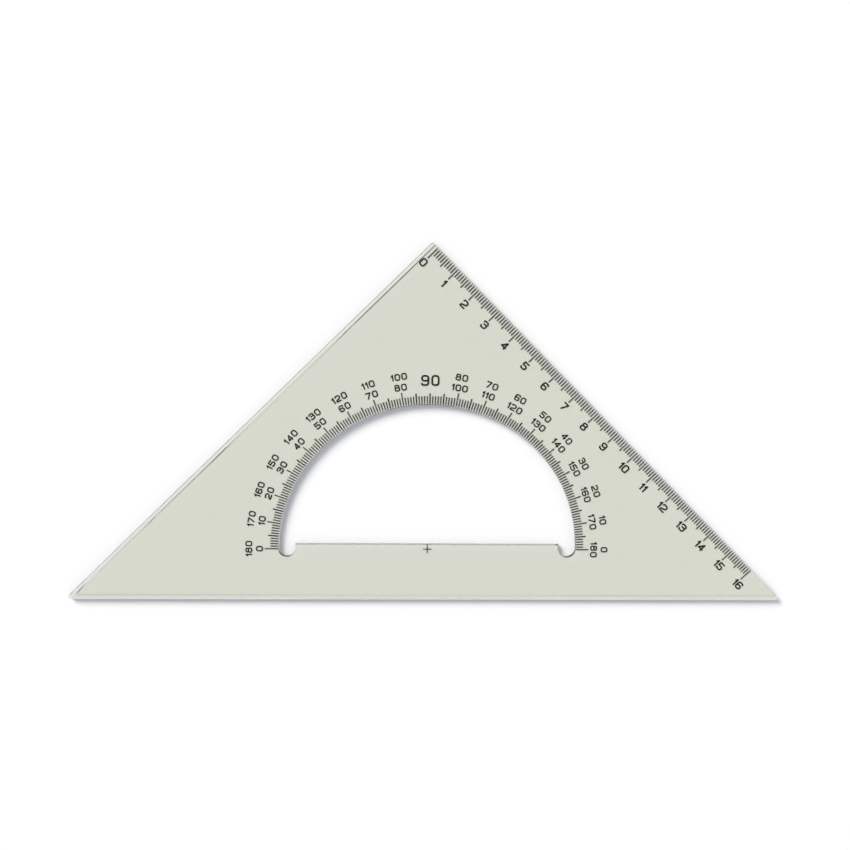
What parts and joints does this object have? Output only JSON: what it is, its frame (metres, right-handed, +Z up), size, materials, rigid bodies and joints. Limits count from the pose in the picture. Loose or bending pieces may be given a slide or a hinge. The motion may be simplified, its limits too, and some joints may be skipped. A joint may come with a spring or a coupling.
{
  "type": "set square",
  "caption": "Clear plastic 45 degree set square with a centimetre scale on one leg and a half-round protractor opening.",
  "frame": {"origin": "bottom centre of the plate's box, on the underside", "axes": "+X along the long edge towards the end of the centimetre scale, +Y from the long edge towards the right angle, +Z up out of the face that is read"},
  "size_m": [0.2498, 0.1256, 0.0025],
  "materials": {
    "clear_plastic": "polished moulding, clear with a faint grey-green tint",
    "black_foil": "hot-pressed black marking foil, matt"
  },
  "bodies": {
    "root": {"plate": "clear_plastic", "millimetre_marks": "black_foil", "half_centimetre_marks": "black_foil", "centimetre_marks": "black_foil", "centimetre_figures": "black_foil", "one_degree_marks": "black_foil", "five_degree_marks": "black_foil", "ten_degree_marks": "black_foil", "inner_degree_figures": "black_foil", "outer_degree_figures": "black_foil", "right_angle_figure": "black_foil", "centre_cross": "black_foil"}
  },
  "joints": []
}
